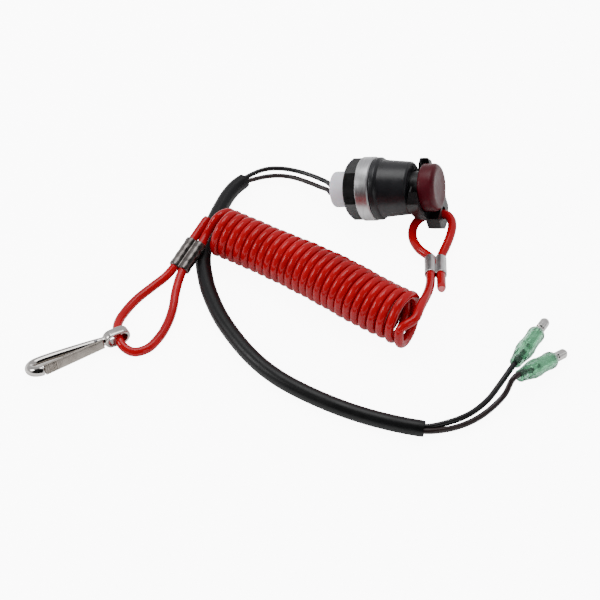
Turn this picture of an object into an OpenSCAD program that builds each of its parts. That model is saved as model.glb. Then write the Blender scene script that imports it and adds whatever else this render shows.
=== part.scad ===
/* [Switch barrel and nut] */
// Outside diameter of the threaded barrel
barrel_d = 16; // [14:0.5:18]
// Wall of the barrel round the plunger's neck
barrel_wall = 1; // [0.9:0.1:1.5]
// Length of barrel behind the panel face
barrel_rear = 6.1; // [5.6:0.1:9]
// Thickness of the web that guides the plunger stem
web_t = 2; // [1.5:0.1:3]
// Hexagon nut, width across its flats
nut_af = 22.6; // [21:0.1:24]
// Hexagon nut, thickness
nut_t = 5.8; // [4:0.1:7]
// Turn of the nut from flat side up, as it lies
nut_turn = 10; // [0:1:30]
// Clearance between the thread and what turns on it
thread_gap = 0.1; // [0.05:0.05:0.3]

/* [Ring and housing] */
// Outside diameter of the bright panel ring
ring_d = 27; // [25:0.5:29]
// Thickness of the bright panel ring
ring_t = 5.8; // [4:0.1:7]
// Bevel on the edges of the panel ring
ring_bevel = 0.5; // [0.2:0.1:1]
// Diameter of the housing's rim
rim_d = 26.4; // [25:0.1:27]
// Thickness of the housing's rim
rim_t = 3.1; // [2:0.1:4]
// Diameter of the housing where it leaves the rim
housing_rear_d = 24.2; // [22:0.1:25]
// Diameter of the housing at its front end
housing_front_d = 21.8; // [20:0.1:23]
// Distance from the ring to the front end of the housing
housing_len = 16.2; // [14:0.1:20]
// Rounding at the front end of the housing
housing_round = 1.6; // [0.5:0.1:2.5]

/* [Button and plunger] */
// Diameter of the push button
button_d = 20; // [18:0.5:22]
// Height of the push button
button_h = 7; // [5:0.5:9]
// Rounding of the button's front edge
button_round = 2.2; // [1:0.1:3]
// Depth of the dish in the button's face
dish_depth = 0.5; // [0.2:0.1:1]
// Diameter of the dish in the button's face
dish_d = 14.5; // [11:0.5:15]
// Diameter of the plunger's stem
stem_d = 6; // [4:0.1:7]
// Diameter of the spigot that carries the button
spigot_d = 8; // [6:0.5:10]
// Travel of the button when it is pressed
press_travel = 1.5; // [1:0.1:1.8]
// Running clearance round the plunger, on the radius
running_gap = 0.08; // [0.05:0.01:0.1]
// Wire diameter of the return spring
spring_wire_d = 0.8; // [0.6:0.1:1]
// Turns of the return spring
spring_turns = 5; // [4:1:6]

/* [Contacts and rear plug] */
// Diameter of the white rear plug
plug_d = 15.2; // [14.5:0.1:16]
// Length of the rear plug that stands behind the nut
plug_len = 7.3; // [6.5:0.1:9]
// Rounding of the rear plug's edge
plug_round = 1.2; // [0.5:0.1:2]
// Distance between the two wires at the plug
wire_pitch = 3.8; // [3.4:0.1:4.5]
// Diameter of the bridging disc
disc_d = 10; // [8:0.5:11]
// Thickness of the bridging disc
disc_t = 1; // [0.6:0.1:1.4]

/* [Lanyard clip] */
// Half the width across the fork's arms
clip_half_w = 13.5; // [12.5:0.1:15]
// Height of the arms' tips above the switch axis
clip_tip_h = 7.4; // [6:0.1:10]
// Thickness of the plate that straddles the neck
clip_plate_t = 2.2; // [1.5:0.1:2.4]
// Thickness of the raised border of the fork
clip_border_t = 4.8; // [3.5:0.1:5.5]
// Thickness of the lug
clip_lug_t = 5.8; // [4.5:0.1:6.5]
// Distance by which the lug stands forward of the fork's rear face
clip_lug_set = 3.4; // [2:0.1:4]
// Distance from the switch axis to the end of the lug
clip_lug_end = 20.8; // [19:0.1:24]
// Half the width of the lug
clip_lug_half_w = 7; // [6:0.1:8]
// Distance from the switch axis to the cord hole
clip_hole_drop = 14.6; // [14:0.1:16]
// Diameter of the cord hole
clip_hole_d = 5.4; // [5:0.1:6]
// Turn of the clip round the switch axis, as it lies
clip_roll = 3; // [0:1:10]

/* [Lanyard] */
// Diameter of the lanyard cord
cord_d = 3.5; // [3:0.1:4]
// Outside diameter of the coil at the hook end
coil_hook_d = 21; // [18:0.5:23]
// Outside diameter of the coil at the clip end
coil_clip_d = 24; // [21:0.5:26]
// Length of a crimped ferrule
ferrule_len = 14; // [10:0.5:16]
// Wall of a crimped ferrule
ferrule_wall = 0.5; // [0.4:0.05:0.8]
// Gap between the cord and the ferrule's wall
ferrule_gap = 0.05; // [0.02:0.01:0.1]
// Distance between the two strands in a ferrule
strand_pitch = 4.3; // [4:0.1:4.6]
// Length of the cut tail beyond each ferrule
tail_len = 12; // [6:0.5:16]

/* [Snap hook] */
// Length of the hook from the middle of its eye to its nose
hook_len = 39; // [34:0.5:44]
// Length of the eye
eye_len = 11; // [10:0.5:13]
// Height of the eye
eye_h = 7.2; // [7:0.1:9]
// Width of the strap that forms the eye
eye_w = 3.7; // [3:0.1:5]
// Thickness of the strap that forms the eye
eye_t = 1.5; // [1:0.1:1.7]
// Rod diameter of the hook at its nose
nose_rod_d = 4.2; // [3.5:0.1:5]
// Rod diameter of the hook at its neck
neck_rod_d = 3.2; // [2.6:0.1:3.6]
// Distance from the hook's middle line to the rod's middle at the nose
nose_r = 4.2; // [3.5:0.1:5]
// Width of the gate at its tip
gate_tip_w = 4.4; // [3.5:0.1:5]
// Width of the gate at its pin
gate_pin_w = 3.8; // [3.4:0.1:5]
// Thickness of the gate
gate_t = 1.6; // [1.2:0.1:2]
// Diameter of the gate's pin
gate_pin_d = 1.4; // [1:0.1:1.6]
// Angle by which the hook lies tipped, gate side up
hook_tip = 23; // [15:1:28]

/* [Wires and terminals] */
// Diameter of each wire over its insulation
wire_d = 2; // [1.8:0.1:2.2]
// Outside diameter of the sleeve
sleeve_d = 6.5; // [6:0.1:7]
// Wall of the sleeve
sleeve_wall = 0.7; // [0.5:0.1:0.8]
// Distance between the wires inside the sleeve
wire_spread = 2.2; // [2.1:0.1:2.4]
// Length of a terminal's insulator
insulator_len = 20; // [16:0.5:22]
// Largest diameter of a terminal's insulator
insulator_d = 7.5; // [6.5:0.1:8]
// Diameter of the bullet's head
bullet_d = 4; // [3.8:0.1:4.2]
// Length of bullet that stands out of the insulator
bullet_out = 8; // [6:0.5:9]

/* [Hidden] */
$fn = 64;

// The neck that the clip straddles also runs in the barrel
neck_d = barrel_d - 2 * barrel_wall;

// Stations along the switch axis, from the panel face, forwards positive
housing_x0 = ring_t;
housing_x1 = ring_t + housing_len;
clip_slack = 0.4;
clip_x0 = housing_x1 + clip_slack;
button_x0 = clip_x0 + clip_plate_t + press_travel + 0.1;
button_x1 = button_x0 + button_h;
web_x0 = 1;
web_x1 = web_x0 + web_t;
barrel_front = 11.2;
barrel_x1 = ring_t + barrel_front;
plug_x0 = -barrel_rear - plug_len;
shoulder_x = ring_t + 5.2;
stem_x0 = -1.6;
disc_x0 = stem_x0 - disc_t;
stud_len = disc_t + 0.4;
contact_gap = 0.1;
contact_tip_x = disc_x0 - press_travel - contact_gap;
clip_lug_x1 = clip_x0 + clip_lug_set + clip_lug_t;

// How the switch lies: on a corner of the nut and on the end of the clip's lug
ring_r = ring_d / 2;
nut_corner_r = nut_af / 2 / cos(30);
nut_chamfer = 1.1;
nut_foot_x = -nut_t + nut_chamfer;
nut_drop = nut_corner_r * cos(30 - nut_turn);
lug_flat = 3.2;
lug_chamfer = 1.2;
lug_foot_x = clip_x0 + clip_lug_set + lug_chamfer;
lug_drop = clip_lug_end * cos(clip_roll) + lug_flat * sin(clip_roll);
tilt = atan((lug_drop - nut_drop) / (lug_foot_x - nut_foot_x));
axis_z = nut_drop * cos(tilt) - nut_foot_x * sin(tilt);
reach_back = (plug_x0 + plug_round) * cos(tilt) - (plug_d / 2 - plug_round) * sin(tilt) - plug_round;
reach_button = (button_x1 - button_round) * cos(tilt) + (button_d / 2 - button_round) * sin(tilt)
    + button_round;
reach_lug = clip_lug_x1 * cos(tilt) + lug_drop * sin(tilt);
axis_x = -(reach_back + max(reach_button, reach_lug)) / 2;

// Vector helpers
function unit(v) = v / norm(v);
function step_dir(p, i) = unit(p[min(i + 1, len(p) - 1)] - p[max(i - 1, 0)]);
function side_dir(t, up) = unit(cross(up, t));
function arc_pts(c, r, a0, a1, n) =
    [for (i = [0:n]) let (a = a0 + (a1 - a0) * i / n) [c[0] + r * cos(a), c[1] + r * sin(a)]];

// One ring of points round a route point, square to the route there
function route_ring(p, t, up, r, n) =
    let (s = side_dir(t, up), v = cross(t, s))
    [for (k = [0:n - 1]) p + r * (cos((k + 0.5) * 360 / n) * s + sin((k + 0.5) * 360 / n) * v)];

// Solid tube along a route; radii is one radius or one for each point
module tube(pts, radii, n, up = [0, 0, 1]) {
    m = len(pts);
    rings = [
        for (i = [0:m - 1])
            each route_ring(pts[i], step_dir(pts, i), up, is_list(radii) ? radii[i] : radii, n)
    ];
    walls = [
        for (i = [0:m - 2])
            for (k = [0:n - 1])
                [i * n + k, (i + 1) * n + k, (i + 1) * n + (k + 1) % n, i * n + (k + 1) % n]
    ];
    first = [for (k = [0:n - 1]) k];
    last = [for (k = [n - 1:-1:0]) (m - 1) * n + k];
    polyhedron(rings, concat(walls, [first], [last]), convexity = 10);
}

// Solid of revolution on the switch axis; each profile point is [radius, station]
module turned(profile) {
    rotate([0, 90, 0]) rotate_extrude($fn = 96) polygon(profile);
}

module bore(d, x0, x1) {
    translate([x0, 0, 0]) rotate([0, 90, 0]) cylinder(d = d, h = x1 - x0);
}

// Places a piece that is drawn on the X axis onto the lying switch
module on_switch() {
    translate([axis_x, 0, axis_z]) rotate([0, -tilt, 0]) children();
}

cut = 0.5;

// Threaded barrel with the web that guides the stem
seal_w = 1.6;
seal_x = housing_x1 - 2.6;

module barrel() {
    color("#26262a") on_switch() difference() {
        turned([
            [0, -barrel_rear], [barrel_d / 2, -barrel_rear],
            [barrel_d / 2, barrel_x1], [0, barrel_x1]
        ]);
        bore(plug_spigot_d + 2 * running_gap, -barrel_rear - cut, web_x0);
        bore(stem_d + 2 * running_gap, web_x0 - cut, web_x1 + cut);
        bore(neck_d + 2 * running_gap, web_x1, barrel_x1 + cut);
    }
}

// Hexagon nut with its corners chamfered
module mounting_nut() {
    color("#1d1d20") on_switch() difference() {
        intersection() {
            translate([-nut_t, 0, 0]) rotate([30 - nut_turn, 0, 0]) rotate([0, 90, 0])
                cylinder(r = nut_corner_r, h = nut_t, $fn = 6);
            turned([
                [0, -nut_t], [nut_af / 2, -nut_t], [nut_corner_r, nut_foot_x],
                [nut_corner_r, -nut_chamfer / 2], [nut_af / 2 + nut_chamfer / 2, 0], [0, 0]
            ]);
        }
        bore(barrel_d + 2 * thread_gap, -nut_t - cut, cut);
    }
}

// Bright ring that meets the panel
module panel_ring() {
    b = ring_bevel;
    color("#c9c9cc") on_switch() difference() {
        turned([
            [0, 0], [ring_r - b, 0], [ring_r, b], [ring_r, ring_t - b],
            [ring_r - b, ring_t], [0, ring_t]
        ]);
        bore(barrel_d + 2 * thread_gap, -cut, ring_t + cut);
    }
}

// Tapered housing with a rounded rim, a rounded front end and the seal's groove
module front_housing() {
    rr = rim_t / 2 - 0.1;
    fr = housing_round;
    rear_r = housing_rear_d / 2;
    front_r = housing_front_d / 2;
    fillet = 0.8;
    rim_x1 = housing_x0 + rim_t;
    color("#2b2b30") on_switch() difference() {
        turned(concat(
            [[0, housing_x0], [rim_d / 2 - 0.4, housing_x0]],
            arc_pts([rim_d / 2 - rr, rim_x1 - rr], rr, -60, 75, 8),
            [[rear_r + fillet, rim_x1]],
            arc_pts([rear_r + fillet, rim_x1 + fillet], fillet, 260, 190, 4),
            arc_pts([front_r - fr, housing_x1 - fr], fr, 4, 90, 8),
            [[0, housing_x1]]
        ));
        bore(barrel_d + 2 * running_gap, housing_x0 - cut, barrel_x1 + 0.1);
        bore(neck_d + 2 * running_gap, barrel_x1, housing_x1 + cut);
        bore(neck_d + 2 * seal_w, seal_x - seal_w / 2, seal_x + seal_w / 2);
    }
}

// Rubber ring that seals the neck inside the housing
module plunger_seal() {
    r = seal_w / 2 - running_gap;
    color("#141416") on_switch() rotate([0, 90, 0]) rotate_extrude($fn = 96)
        translate([neck_d / 2 + running_gap + r, seal_x]) circle(r = r, $fn = 24);
}

// White plug with a rounded rear edge, a wire hole for each wire and a cup bore for each contact
plug_spigot_d = neck_d - 1;
plug_spigot = 1.3;
cup_len = 2.6;
cup_x0 = plug_x0 + 1.8;

module rear_plug() {
    pr = plug_round;
    color("#dcdae2") on_switch() difference() {
        turned(concat(
            [[0, plug_x0]],
            arc_pts([plug_d / 2 - pr, plug_x0 + pr], pr, -90, 0, 6),
            [
                [plug_d / 2, -barrel_rear], [plug_spigot_d / 2, -barrel_rear],
                [plug_spigot_d / 2, -barrel_rear + plug_spigot], [0, -barrel_rear + plug_spigot]
            ]
        ));
        for (s = [-1, 1]) {
            translate([0, s * wire_pitch / 2, 0]) {
                bore(wire_d + 0.2, plug_x0 - cut, cup_x0 + cut);
                bore(cup_d, cup_x0, -barrel_rear + plug_spigot + cut);
            }
        }
    }
}

// Brass contact: a cup for the wire, and a button that the disc meets
cup_d = wire_d + 1.1;

module contact(s) {
    on_switch() translate([0, s * wire_pitch / 2, 0]) difference() {
        union() {
            bore(cup_d - 0.04, cup_x0 + 0.02, -barrel_rear + plug_spigot);
            bore(wire_d, -barrel_rear + plug_spigot - cut, contact_tip_x);
        }
        bore(wire_d + 0.1, cup_x0 - cut, cup_x0 + cup_len);
    }
}

module contact_black() {
    color("#c8a24a") contact(1);
}

module contact_brown() {
    color("#c8a24a") contact(-1);
}

// Disc that bridges the two contacts when the button is pressed
stud_d = 2;

module contact_disc() {
    color("#c8a24a") on_switch() difference() {
        bore(disc_d, disc_x0, stem_x0);
        bore(stud_d + 0.04, disc_x0 - cut, stem_x0 + cut);
    }
}

// Plunger: stud, stem with the ring's groove, shoulder, neck and button spigot
groove_w = 0.7;
groove_d = stem_d - 0.9;
groove_x1 = web_x0 - 0.1;
spigot_len = 3.6;

module plunger() {
    stem_r = stem_d / 2;
    color("#202023") on_switch() turned([
        [0, stem_x0 - disc_t - 0.1], [stud_d / 2, stem_x0 - disc_t - 0.1],
        [stud_d / 2, stem_x0], [stem_r, stem_x0],
        [stem_r, groove_x1 - groove_w], [groove_d / 2, groove_x1 - groove_w],
        [groove_d / 2, groove_x1], [stem_r, groove_x1],
        [stem_r, shoulder_x], [neck_d / 2, shoulder_x],
        [neck_d / 2, button_x0], [spigot_d / 2, button_x0],
        [spigot_d / 2, button_x0 + spigot_len], [0, button_x0 + spigot_len]
    ]);
}

// Open spring ring in the stem's groove, behind the web
module retaining_ring() {
    ring_out = stem_d + 2.4;
    ring_w = groove_w - 0.1;
    slot_w = stem_d * 0.6;
    color("#a8a8ab") on_switch() translate([groove_x1 - groove_w + 0.05, 0, 0]) difference() {
        bore(ring_out, 0, ring_w);
        bore(groove_d + 0.04, -cut, ring_w + cut);
        translate([-cut, -slot_w / 2, -ring_out]) cube([ring_w + 2 * cut, slot_w, ring_out]);
    }
}

// Compression spring between the web and the plunger's shoulder
module return_spring() {
    wire_r = spring_wire_d / 2;
    mid_r = (stem_d + neck_d) / 4 + 0.3;
    end_gap = 0.06;
    x0 = web_x1 + wire_r + end_gap;
    x1 = shoulder_x - wire_r - end_gap;
    per_turn = 14;
    steps = spring_turns * per_turn;
    route = [
        for (i = [0:steps])
            let (a = 360 * i / per_turn, f = i / steps)
            [x0 + (x1 - x0) * f, mid_r * cos(a), mid_r * sin(a)]
    ];
    color("#b9b9bd") on_switch() tube(route, wire_r, 8, [1, 0, 0]);
}

// Mushroom button with a rounded edge and a dished face
module button_cap() {
    br = button_round;
    r = button_d / 2;
    lip = 0.8;
    dish_r = dish_d / 2;
    dish_sphere = (dish_r * dish_r + dish_depth * dish_depth) / (2 * dish_depth);
    color("#7d1a26") on_switch() difference() {
        turned(concat(
            [[0, button_x0], [r - lip, button_x0]],
            arc_pts([r - lip, button_x0 + lip], lip, -90, -10, 4),
            arc_pts([r - br, button_x1 - br], br, 0, 90, 10),
            [[0, button_x1]]
        ));
        translate([button_x1 - dish_depth + dish_sphere, 0, 0]) rotate([0, 90, 0])
            sphere(r = dish_sphere, $fn = 96);
        bore(spigot_d + 0.06, button_x0 - cut, button_x0 + spigot_len + 0.1);
    }
}

// Fork clip: arms that straddle the neck, a raised border and a lug with the cord hole
slot_gap = 0.25;
slot_r = neck_d / 2 + slot_gap;
recess_r = button_d / 2 + 0.6;
waist_z = -9;

module clip_outline() {
    w = clip_half_w;
    h = clip_tip_h;
    half = [
        [slot_r, h], [w - 3, h], [w, 3], [w, -1], [clip_lug_half_w + 2, waist_z],
        [clip_lug_half_w, waist_z - 3], [clip_lug_half_w, -clip_lug_end + 4],
        [lug_flat, -clip_lug_end]
    ];
    mirrored = [for (i = [len(half) - 1:-1:0]) [-half[i][0], half[i][1]]];
    polygon(concat(half, mirrored));
}

// A pocket with a round floor that is open towards the arms' tips
module u_pocket(r) {
    circle(r = r, $fn = 96);
    translate([-r, 0]) square([2 * r, clip_half_w + r]);
}

// The clip seen from its side: the fork behind, the lug set forward of it
module clip_side() {
    top = clip_tip_h + 1;
    lug_x1 = clip_lug_set + clip_lug_t;
    lug_top = -recess_r - 0.4;
    polygon([
        [1.8, top], [0, 2], [0, waist_z - 0.5], [clip_lug_set, waist_z - 3.5],
        [clip_lug_set, -clip_lug_end + lug_chamfer], [clip_lug_set + lug_chamfer, -clip_lug_end],
        [clip_lug_set + lug_chamfer, -clip_lug_end - 1],
        [lug_x1, -clip_lug_end - 1], [lug_x1, lug_top], [clip_border_t, lug_top],
        [clip_border_t, top]
    ]);
}

module clip_layer(x0, x1) {
    translate([x0, 0, 0]) rotate([90, 0, 90]) linear_extrude(x1 - x0) children();
}

module lanyard_clip() {
    color("#232326") on_switch() rotate([clip_roll, 0, 0]) difference() {
        intersection() {
            clip_layer(clip_x0, clip_lug_x1) clip_outline();
            translate([clip_x0, clip_half_w + 1, 0]) rotate([90, 0, 0])
                linear_extrude(2 * clip_half_w + 2) clip_side();
        }
        clip_layer(clip_x0 - cut, clip_lug_x1 + cut) u_pocket(slot_r);
        clip_layer(clip_x0 + clip_plate_t, clip_lug_x1 + cut) u_pocket(recess_r);
        translate([0, 0, -clip_hole_drop]) bore(clip_hole_d, clip_x0 - cut, clip_lug_x1 + cut);
    }
}

// Ferrule poses: middle, heading towards the coil, rise towards the coil
hook_ferrule = [[-71.7, -53.3, 7.2], 74, 17];
clip_ferrule = [[27.8, -32.2, 7.6], -77, 16];

// Point in a ferrule's pose: along it towards the coil, and to its left side
function ferrule_pt(pose, along, side) =
    let (h = pose[1], e = pose[2])
    pose[0] + along * [cos(h) * cos(e), sin(h) * cos(e), sin(e)] + side * [-sin(h), cos(h), 0];

module ferrule(pose) {
    lobe_r = cord_d / 2 + ferrule_gap + ferrule_wall;
    l = ferrule_len;
    translate(pose[0]) rotate([0, 0, pose[1]]) rotate([0, -pose[2], 0]) difference() {
        union() {
            for (s = [-1, 1])
                translate([0, s * strand_pitch / 2, 0]) bore(2 * lobe_r, -l / 2, l / 2);
            translate([-l / 2, -strand_pitch / 2, -lobe_r * 0.72])
                cube([l, strand_pitch, lobe_r * 1.44]);
        }
        for (s = [-1, 1])
            translate([0, s * strand_pitch / 2, 0])
                bore(cord_d + 2 * ferrule_gap, -l / 2 - cut, l / 2 + cut);
    }
}

module ferrule_hook() {
    color("#6d6b6a") ferrule(hook_ferrule);
}

module ferrule_clip() {
    color("#d0cfce") ferrule(clip_ferrule);
}

// Coil: middles of its two ends
coil_hook_end = [-58.5, -42.3, 10.6];
coil_clip_end = [25, -68, 12.1];

module lanyard_coil() {
    axis = coil_clip_end - coil_hook_end;
    heading = atan2(axis[1], axis[0]);
    rise = asin(axis[2] / norm(axis));
    over = cord_d / 2;
    length = norm(axis) + 2 * over;
    color("#c4101a") translate(coil_hook_end) rotate([0, 90 - rise, heading])
        translate([0, 0, -over]) cylinder(d1 = coil_hook_d, d2 = coil_clip_d, h = length, $fn = 96);
}

// Cord at the hook end: cut tail, ferrule, loop through the eye, ferrule, coil
half_pitch = strand_pitch / 2;
ferrule_out = ferrule_len / 2;
hook_loop_route = concat(
    [
        ferrule_pt(hook_ferrule, ferrule_out + tail_len, half_pitch),
        ferrule_pt(hook_ferrule, ferrule_out + 1, half_pitch),
        ferrule_pt(hook_ferrule, -ferrule_out - 1, half_pitch)
    ],
    [
        [-77.5, -63.4, 3.6], [-81.4, -70, 2.4], [-85.3, -77.8, 1.8], [-87.6, -86.5, 1.8],
        [-88, -92.5, 2.2], [-86.8, -97.6, 3], [-84.6, -102, 3.4], [-81.4, -105.4, 2.6],
        [-77, -106.4, 1.8], [-72.6, -103.6, 1.8], [-69.9, -96.8, 1.8], [-69, -88.3, 1.8],
        [-69.6, -79.5, 2], [-71.2, -70.5, 3.2]
    ],
    [
        ferrule_pt(hook_ferrule, -ferrule_out - 1, -half_pitch),
        ferrule_pt(hook_ferrule, ferrule_out + 1, -half_pitch)
    ],
    [[-67.2, -41.5, 11.2], [-66.2, -38.6, 14], [-63.6, -36.6, 17.2]]
);

module lanyard_loop_hook() {
    color("#c4101a") tube(hook_loop_route, cord_d / 2, 8);
}

// Cord at the clip end: cut tail, ferrule, loop through the lug, ferrule, coil
clip_loop_route = concat(
    [
        ferrule_pt(clip_ferrule, ferrule_out + tail_len, half_pitch),
        ferrule_pt(clip_ferrule, ferrule_out + 1, half_pitch),
        ferrule_pt(clip_ferrule, -ferrule_out - 1, half_pitch)
    ],
    [
        [28.9, -16.5, 6], [29.2, -11, 6.6], [28.8, -6, 6.9], [27.5, -2, 6.8], [25.2, 0.4, 6.9],
        [21.3, 0.8, 6.3], [17.6, 0.3, 5.3], [14.9, -1.9, 4.8], [13.3, -5.4, 4.8], [13, -10.3, 4.8],
        [14.3, -15.4, 4.8], [18.2, -20.9, 4.9]
    ],
    [
        ferrule_pt(clip_ferrule, -ferrule_out - 1, -half_pitch),
        ferrule_pt(clip_ferrule, ferrule_out + 1, -half_pitch)
    ],
    [[28.3, -44, 10.6], [28.9, -49, 11.4], [28.9, -53, 11.8], [28.5, -56.6, 12]]
);

module lanyard_loop_clip() {
    color("#c4101a") tube(clip_loop_route, cord_d / 2, 8);
}

// Snap hook: drawn with X from the eye to the nose and Y towards the gate
hook_place = [-85.5, -102, 3.75];
hook_heading = 225.5;

module on_hook(tip) {
    translate(hook_place) rotate([0, 0, hook_heading]) rotate([tip, 0, 0]) children();
}

gate_pin_x = eye_len / 2 + 3.4;
gate_pin_y = 1.1;
gate_tip_x = hook_len - nose_rod_d / 2 - nose_r - 0.4;
lug_h = 1.7;
ear_gap = 0.12;
// Depth of the flats beside the frame's lug, in which the gate's ears turn
ear_room = 2.5;

module eye_strap(l, h) {
    translate([0, eye_w / 2, 0]) rotate([90, 0, 0]) linear_extrude(eye_w) hull() {
        for (s = [-1, 1]) translate([s * (l - h) / 2, 0]) circle(d = h, $fn = 48);
    }
}

module hook_frame() {
    nose_c = hook_len - nose_rod_d / 2 - nose_r;
    rod0 = neck_rod_d / 2;
    rod1 = nose_rod_d / 2;
    spine = [[eye_len / 2 - 0.6, 0, 0], [eye_len / 2 + 3, -1, 0], [nose_c * 0.62, -nose_r * 0.66, 0]];
    turn_n = 10;
    nose = [
        for (i = [0:turn_n])
            let (a = -90 + 170 * i / turn_n) [nose_c + nose_r * cos(a), nose_r * sin(a), 0]
    ];
    radii = concat([rod0, rod0, (rod0 + rod1) / 2], [for (i = [0:turn_n]) rod1]);
    color("#c7c4c0") union() {
        on_hook(hook_tip) difference() {
            union() {
                tube(concat(spine, nose), radii, 16);
                translate([gate_pin_x - 2.4, gate_pin_y - 2.6, -lug_h / 2])
                    cube([3.6, 3.6, lug_h]);
            }
            translate([gate_pin_x, gate_pin_y, -lug_h])
                cylinder(d = gate_pin_d + 0.1, h = 2 * lug_h);
            for (s = [-1, 1])
                translate([gate_pin_x + 1.3, gate_pin_y, s * (lug_h + ear_room) / 2])
                    cube([6.8, 3.8, ear_room], center = true);
        }
        on_hook(0) difference() {
            eye_strap(eye_len, eye_h);
            translate([0, eye_w, 0]) scale([1, 3, 1]) eye_strap(eye_len - 2 * eye_t, eye_h - 2 * eye_t);
        }
    }
}

// Gate: a strip with thumb ribs near its tip and two ears on the pin
module hook_gate() {
    tip_y = nose_r + 0.2;
    run = gate_tip_x - gate_pin_x;
    lean = atan((tip_y - gate_pin_y - 0.9) / run);
    ear_t = (gate_pin_w - lug_h) / 2 - ear_gap;
    color("#b8b3ac") on_hook(hook_tip) difference() {
        translate([gate_pin_x, gate_pin_y, 0]) rotate([0, 0, lean]) {
            translate([0, 0.9 - gate_t / 2 + 0.4, 0]) rotate([-90, 0, 0])
                linear_extrude(gate_t - 0.4) polygon([
                    [2, -gate_pin_w / 2], [run, -gate_tip_w / 2],
                    [run, gate_tip_w / 2], [2, gate_pin_w / 2]
                ]);
            for (s = [-1, 1])
                translate([0, 0, s * (lug_h / 2 + ear_gap + ear_t / 2)]) {
                    cylinder(d = gate_pin_d + 1.8, h = ear_t, center = true);
                    translate([0, -0.9, -ear_t / 2]) cube([4, 2.4, ear_t]);
                }
        }
        translate([gate_pin_x, gate_pin_y, -gate_pin_w])
            cylinder(d = gate_pin_d + 0.1, h = 2 * gate_pin_w);
    }
}

module gate_pin() {
    color("#8f8b86") on_hook(hook_tip) translate([gate_pin_x, gate_pin_y, -gate_pin_w / 2 - 0.2])
        cylinder(d = gate_pin_d, h = gate_pin_w + 0.4);
}

// Leaf that presses the gate shut
module gate_spring() {
    leaf_t = 0.3;
    leaf_w = lug_h - 0.2;
    color("#9a9a9e") on_hook(hook_tip) translate([0, 0, -leaf_w / 2]) linear_extrude(leaf_w)
        polygon([
            [gate_pin_x + 1.3, 0.55], [gate_pin_x + 7, 0.9], [gate_pin_x + 13, 1.9],
            [gate_pin_x + 13, 1.9 + leaf_t], [gate_pin_x + 7, 0.9 + leaf_t],
            [gate_pin_x + 1.3, 0.55 + leaf_t]
        ]);
}

// Sleeve route, from the mouth near the switch to the square-cut end
sleeve_z = sleeve_d / 2 + 0.05;
sleeve_route = [
    for (p = [
        [-64.5, 1.5], [-66.8, -3.5], [-68.2, -9.5], [-68.8, -16], [-69.1, -22.5], [-69.1, -29],
        [-68.8, -35.5], [-68.1, -42], [-66.8, -48], [-65, -53.5], [-62.6, -58.8], [-60, -64],
        [-57, -69], [-53.6, -74], [-50, -78.8], [-46, -83.4], [-41.5, -88], [-36.7, -92.5],
        [-31.5, -96.8], [-24.2, -101.8], [-16.5, -105.8], [-8, -109], [1, -111.6], [9.5, -113.5],
        [18, -114.8], [27, -115.5], [35, -115.6], [43, -115.2]
    ]) [p[0], p[1], sleeve_z]
];

module sleeve() {
    n = len(sleeve_route);
    before = 2 * sleeve_route[0] - sleeve_route[1];
    after = 2 * sleeve_route[n - 1] - sleeve_route[n - 2];
    bore_route = concat(
        [sleeve_route[0] + 0.2 * (before - sleeve_route[0])],
        [for (i = [1:n - 2]) sleeve_route[i]],
        [sleeve_route[n - 1] + 0.2 * (after - sleeve_route[n - 1])]
    );
    color("#1b1b1d") difference() {
        tube(sleeve_route, sleeve_d / 2, 12);
        tube(bore_route, sleeve_d / 2 - sleeve_wall, 12);
    }
}

// Route that runs beside the sleeve's middle line and makes half a turn round it
function beside(route, s) = [
    for (i = [0:len(route) - 1])
        let (
            t = step_dir(route, i),
            side = side_dir(t, [0, 0, 1]),
            a = 180 * i / (len(route) - 1)
        )
        route[i] + s * (cos(a) * side + sin(a) * cross(t, side))
];

// Places a point of the switch axis frame into the part's frame
function switch_pt(x, y, z) = [
    axis_x + x * cos(tilt) - z * sin(tilt), y, axis_z + x * sin(tilt) + z * cos(tilt)
];

wire_in = cup_len - 0.2;
wire_start_x = cup_x0 + wire_in;
black_start = [
    switch_pt(wire_start_x, wire_pitch / 2, 0), switch_pt(plug_x0 - 2, wire_pitch / 2, 0)
];
brown_start = [
    switch_pt(wire_start_x, -wire_pitch / 2, 0), switch_pt(plug_x0 - 2, -wire_pitch / 2, 0)
];

// Terminal poses: wire end of the insulator, heading and rise
black_terminal = [[69.2, -72.9, 3.8], 74.5, 0];
brown_terminal = [[72.6, -83, 7.9], 58, -12];

function terminal_pt(pose, along) =
    pose[0] + along * [cos(pose[1]) * cos(pose[2]), sin(pose[1]) * cos(pose[2]), sin(pose[2])];

module on_terminal(pose) {
    translate(pose[0]) rotate([0, 0, pose[1]]) rotate([0, -pose[2], 0]) children();
}

black_route = concat(
    black_start,
    [
        [-26.5, 2.6, 9.4], [-32, 5.6, 8.9], [-38, 8, 8], [-44.5, 9.6, 7.2], [-50.5, 10, 6.5],
        [-57, 8.8, 5.5], [-62.4, 5.2, 4.2]
    ],
    beside(sleeve_route, -wire_spread / 2),
    [[50.4, -109.8, 3.2], [57.6, -103, 3], [62.5, -94.6, 2.8], [66, -84, 3.2]],
    [terminal_pt(black_terminal, -4), terminal_pt(black_terminal, 5.5)]
);
brown_route = concat(
    brown_start,
    [
        [-26, -0.6, 8.6], [-31, 2, 7.6], [-37, 5.2, 6], [-43, 7.6, 4.8], [-49, 8.6, 3.8],
        [-55, 7.4, 3.2], [-60, 4.2, 3.2]
    ],
    beside(sleeve_route, wire_spread / 2),
    [[51.2, -112.4, 2.6], [59.2, -105.6, 2.2], [65.2, -97.4, 2.8], [69.2, -90, 5.2]],
    [terminal_pt(brown_terminal, -4), terminal_pt(brown_terminal, 5.5)]
);

module wire_black() {
    color("#151517") tube(black_route, wire_d / 2, 8);
}

module wire_brown() {
    color("#3a2222") tube(brown_route, wire_d / 2, 8);
}

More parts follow.
